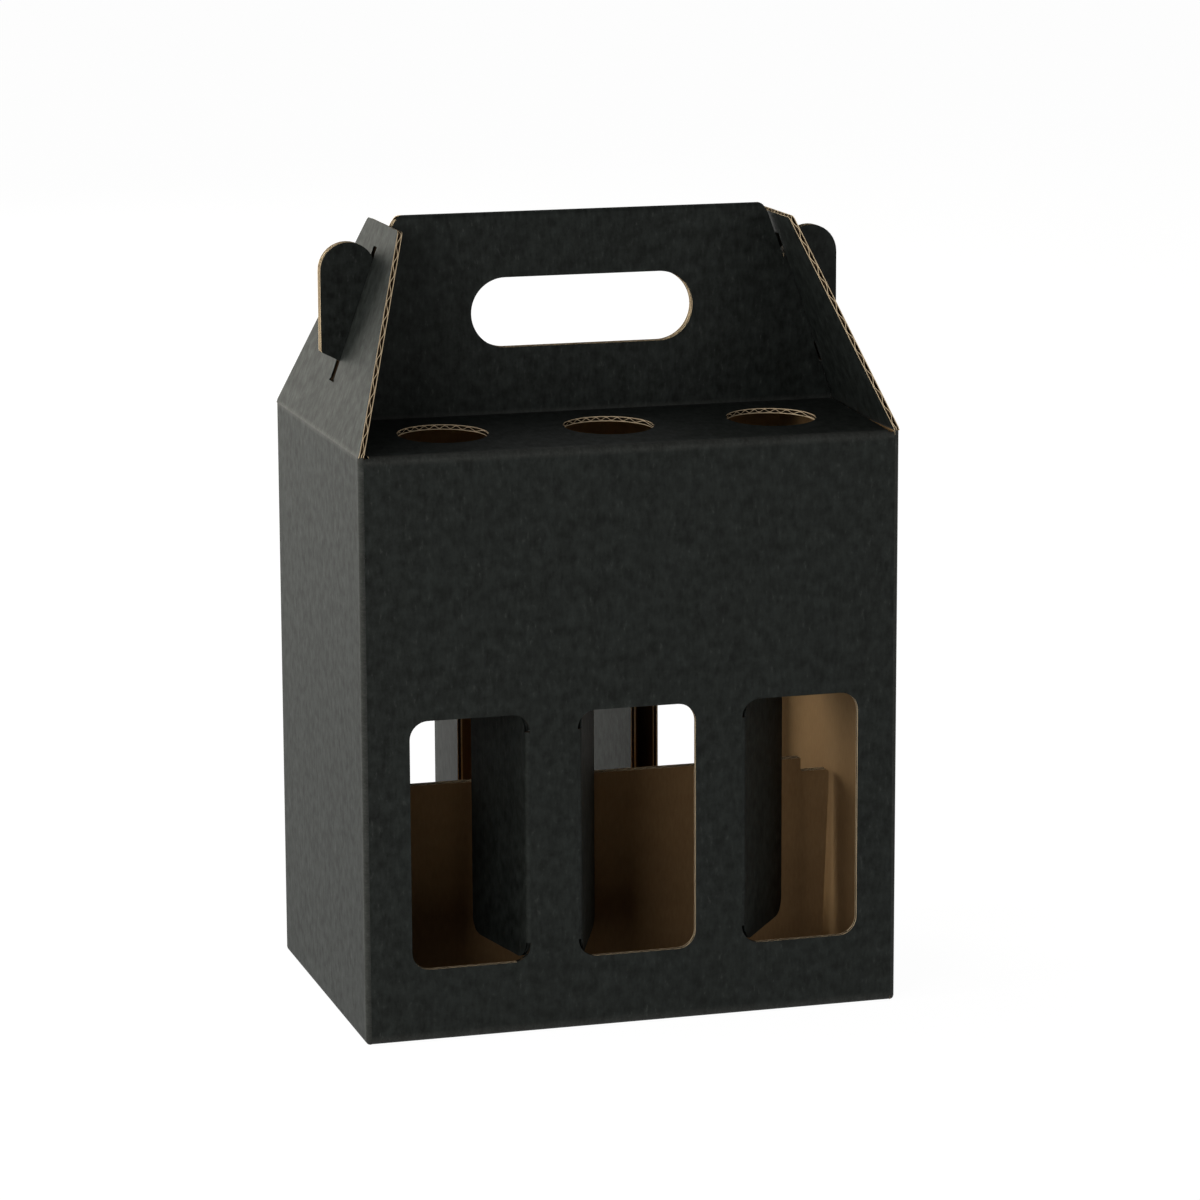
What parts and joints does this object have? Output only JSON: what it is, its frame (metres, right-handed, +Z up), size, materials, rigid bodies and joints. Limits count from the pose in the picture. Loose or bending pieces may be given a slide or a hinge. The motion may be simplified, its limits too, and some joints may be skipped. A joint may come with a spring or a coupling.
{
  "type": "bottle carrier box",
  "caption": "Upright corrugated board bottle carrier with a gable-lock carry handle, neck holes in the top and cut-out windows whose flaps fold in as bottle dividers.",
  "frame": {"origin": "middle of the floor's underside", "axes": "+X to the right along the front wall, +Y from the front wall to the back, +Z up to the handle"},
  "size_m": [0.195, 0.13, 0.2818],
  "materials": {
    "black_kraft_board": "matte black printed liner outside, bare brown kraft inside"
  },
  "bodies": {
    "carton": {"carton": "black_kraft_board"},
    "gable_flap_left": {"gable_flap_left": "black_kraft_board"},
    "gable_flap_right": {"gable_flap_right": "black_kraft_board"},
    "window_flap_front_left": {"window_flap_front_left": "black_kraft_board"},
    "window_flap_front_middle": {"window_flap_front_middle": "black_kraft_board"},
    "window_flap_front_right": {"window_flap_front_right": "black_kraft_board"},
    "window_flap_back_left": {"window_flap_back_left": "black_kraft_board"},
    "window_flap_back_middle": {"window_flap_back_middle": "black_kraft_board"},
    "window_flap_back_right": {"window_flap_back_right": "black_kraft_board"}
  },
  "joints": [
    {"name": "gable_flap_left_hinge", "type": "hinge", "parent": "carton", "child": "gable_flap_left", "pos_m": [-0.0976, 0, 0.20717], "axis": [0, -1, 0], "range_deg": [0, 175]},
    {"name": "gable_flap_right_hinge", "type": "hinge", "parent": "carton", "child": "gable_flap_right", "pos_m": [0.0976, 0, 0.20717], "axis": [0, 1, 0], "range_deg": [0, 175]},
    {"name": "window_flap_front_left_hinge", "type": "hinge", "parent": "carton", "child": "window_flap_front_left", "pos_m": [-0.0378, -0.0632, 0.07005], "axis": [0, 0, -1], "range_deg": [-79, 21]},
    {"name": "window_flap_front_middle_hinge", "type": "hinge", "parent": "carton", "child": "window_flap_front_middle", "pos_m": [-0.0206, -0.0632, 0.07005], "axis": [0, 0, 1], "range_deg": [-68, 32]},
    {"name": "window_flap_front_right_hinge", "type": "hinge", "parent": "carton", "child": "window_flap_front_right", "pos_m": [0.0396, -0.0632, 0.07005], "axis": [0, 0, 1], "range_deg": [-54, 46]},
    {"name": "window_flap_back_left_hinge", "type": "hinge", "parent": "carton", "child": "window_flap_back_left", "pos_m": [-0.0378, 0.0632, 0.07005], "axis": [0, 0, 1], "range_deg": [-87, 13]},
    {"name": "window_flap_back_middle_hinge", "type": "hinge", "parent": "carton", "child": "window_flap_back_middle", "pos_m": [0.0224, 0.0632, 0.07005], "axis": [0, 0, 1], "range_deg": [-95, 5]},
    {"name": "window_flap_back_right_hinge", "type": "hinge", "parent": "carton", "child": "window_flap_back_right", "pos_m": [0.0396, 0.0632, 0.07005], "axis": [0, 0, -1], "range_deg": [-99, 1]}
  ]
}
